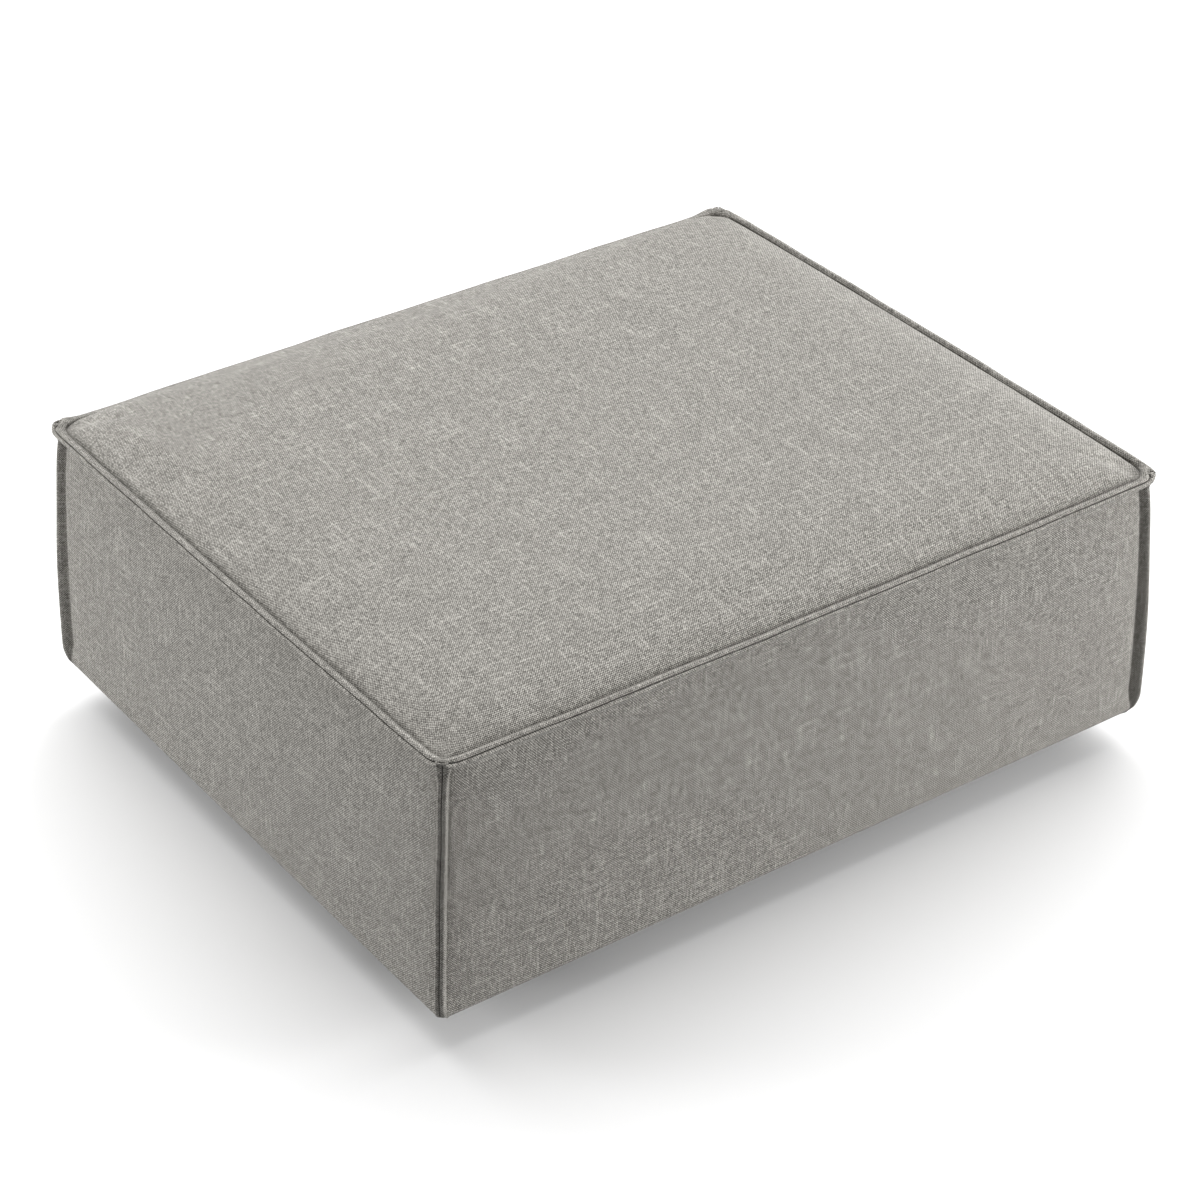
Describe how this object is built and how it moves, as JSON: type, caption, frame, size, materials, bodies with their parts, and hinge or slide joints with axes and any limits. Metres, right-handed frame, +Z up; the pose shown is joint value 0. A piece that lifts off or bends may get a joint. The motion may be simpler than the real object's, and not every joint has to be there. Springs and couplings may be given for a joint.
{
  "type": "modular ottoman",
  "caption": "Low rectangular upholstered ottoman with a crowned seat and standing double-lip seams, on short hidden feet.",
  "frame": {"origin": "on the floor, under the middle of the ottoman", "axes": "+Z up, X along the long side, the front long side faces -Y"},
  "size_m": [1.0562, 0.8868, 0.4315],
  "materials": {
    "cover_fabric": "warm grey linen-look plain weave with slubs",
    "foam": "open-cell upholstery foam",
    "wadding": "white polyester fibre wadding",
    "felt": "grey needled felt",
    "hardboard": "brown hardboard",
    "frame_timber": "planed softwood",
    "plywood": "birch plywood",
    "webbing": "black elastic webbing",
    "dust_fabric": "black non-woven dust cover",
    "plated_steel": "zinc-plated steel",
    "foot_plastic": "black moulded plastic",
    "glide_felt": "dark grey felt glide"
  },
  "bodies": {
    "root": {"back_cover": "cover_fabric", "back_hardboard": "hardboard", "back_side_foam": "foam", "base_brace": "frame_timber", "bottom_rail_back": "frame_timber", "bottom_rail_front": "frame_timber", "bottom_rail_left": "frame_timber", "bottom_rail_right": "frame_timber", "corner_post_back_left": "frame_timber", "corner_post_back_right": "frame_timber", "corner_post_front_left": "frame_timber", "corner_post_front_right": "frame_timber", "deck_brace": "frame_timber", "deck_felt": "felt", "dust_cover": "dust_fabric", "foot_back_left": "foot_plastic", "foot_back_right": "foot_plastic", "foot_front_left": "foot_plastic", "foot_front_right": "foot_plastic", "foot_glides": "glide_felt", "foot_plates": "plated_steel", "foot_studs": "plated_steel", "frame_stud_back": "frame_timber", "frame_stud_front": "frame_timber", "front_cover": "cover_fabric", "front_hardboard": "hardboard", "front_side_foam": "foam", "left_cover": "cover_fabric", "left_hardboard": "hardboard", "left_side_foam": "foam", "leg_block_back_left": "plywood", "leg_block_back_right": "plywood", "leg_block_front_left": "plywood", "leg_block_front_right": "plywood", "leg_nuts": "plated_steel", "right_cover": "cover_fabric", "right_hardboard": "hardboard", "right_side_foam": "foam", "seat_foam_core": "foam", "seat_wadding": "wadding", "top_cover": "cover_fabric", "top_rail_back": "frame_timber", "top_rail_front": "frame_timber", "top_rail_left": "frame_timber", "top_rail_right": "frame_timber", "webbing_crosswise_1": "webbing", "webbing_crosswise_2": "webbing", "webbing_crosswise_3": "webbing", "webbing_crosswise_4": "webbing", "webbing_crosswise_5": "webbing", "webbing_crosswise_6": "webbing", "webbing_lengthwise_1": "webbing", "webbing_lengthwise_2": "webbing", "webbing_lengthwise_3": "webbing", "webbing_lengthwise_4": "webbing", "webbing_lengthwise_5": "webbing"}
  },
  "joints": []
}
